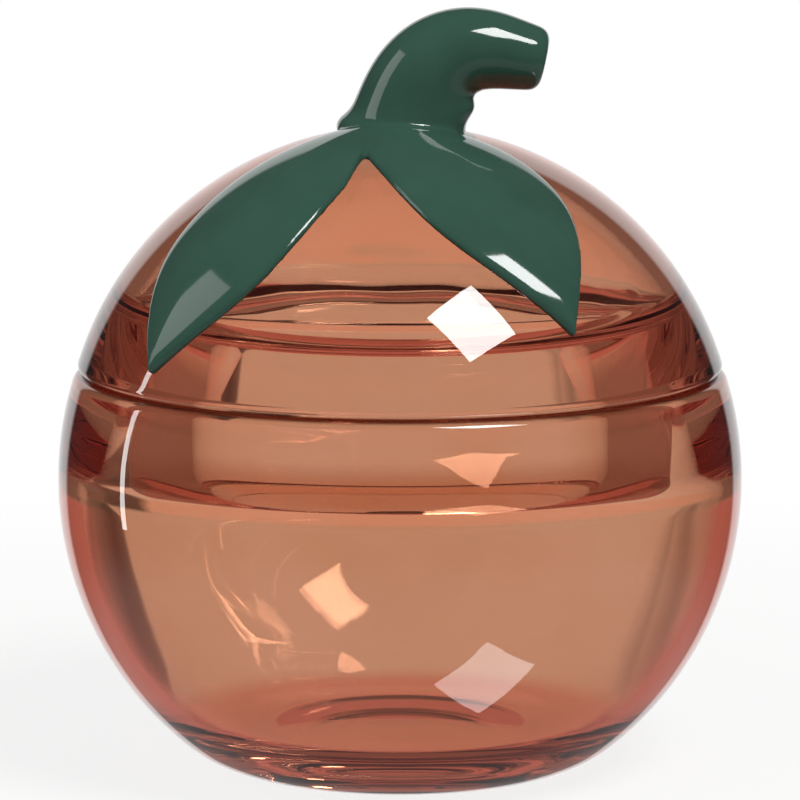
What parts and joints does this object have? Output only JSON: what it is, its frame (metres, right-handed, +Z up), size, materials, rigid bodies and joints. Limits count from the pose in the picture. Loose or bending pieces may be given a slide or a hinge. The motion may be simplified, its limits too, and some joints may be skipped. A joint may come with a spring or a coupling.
{
  "type": "storage jar",
  "caption": "Round orange-shaped glass storage jar with a lift-off domed lid whose collar drops into the mouth, and a hooked green stem with leaves as the grip.",
  "frame": {"origin": "centre of the foot, on the surface that the jar stands on", "axes": "+Z up along the jar's axis, -Y towards the side with the leaves, +X towards the end of the stem"},
  "size_m": [0.12, 0.12, 0.1337],
  "materials": {
    "amber_glass": "clear blown glass with an orange lustre on the outside, fire polished",
    "green_enamel": "opaque green enamel on glass, glossy"
  },
  "bodies": {
    "jar": {"jar_bowl": "amber_glass"},
    "lid": {"lid_dome": "amber_glass", "stem": "green_enamel", "leaf_left": "green_enamel", "leaf_right": "green_enamel"}
  },
  "joints": [
    {"name": "lid_lift", "type": "slide", "parent": "jar", "child": "lid", "axis": [0, 0, 1], "range_m": [0, 0.1]}
  ]
}
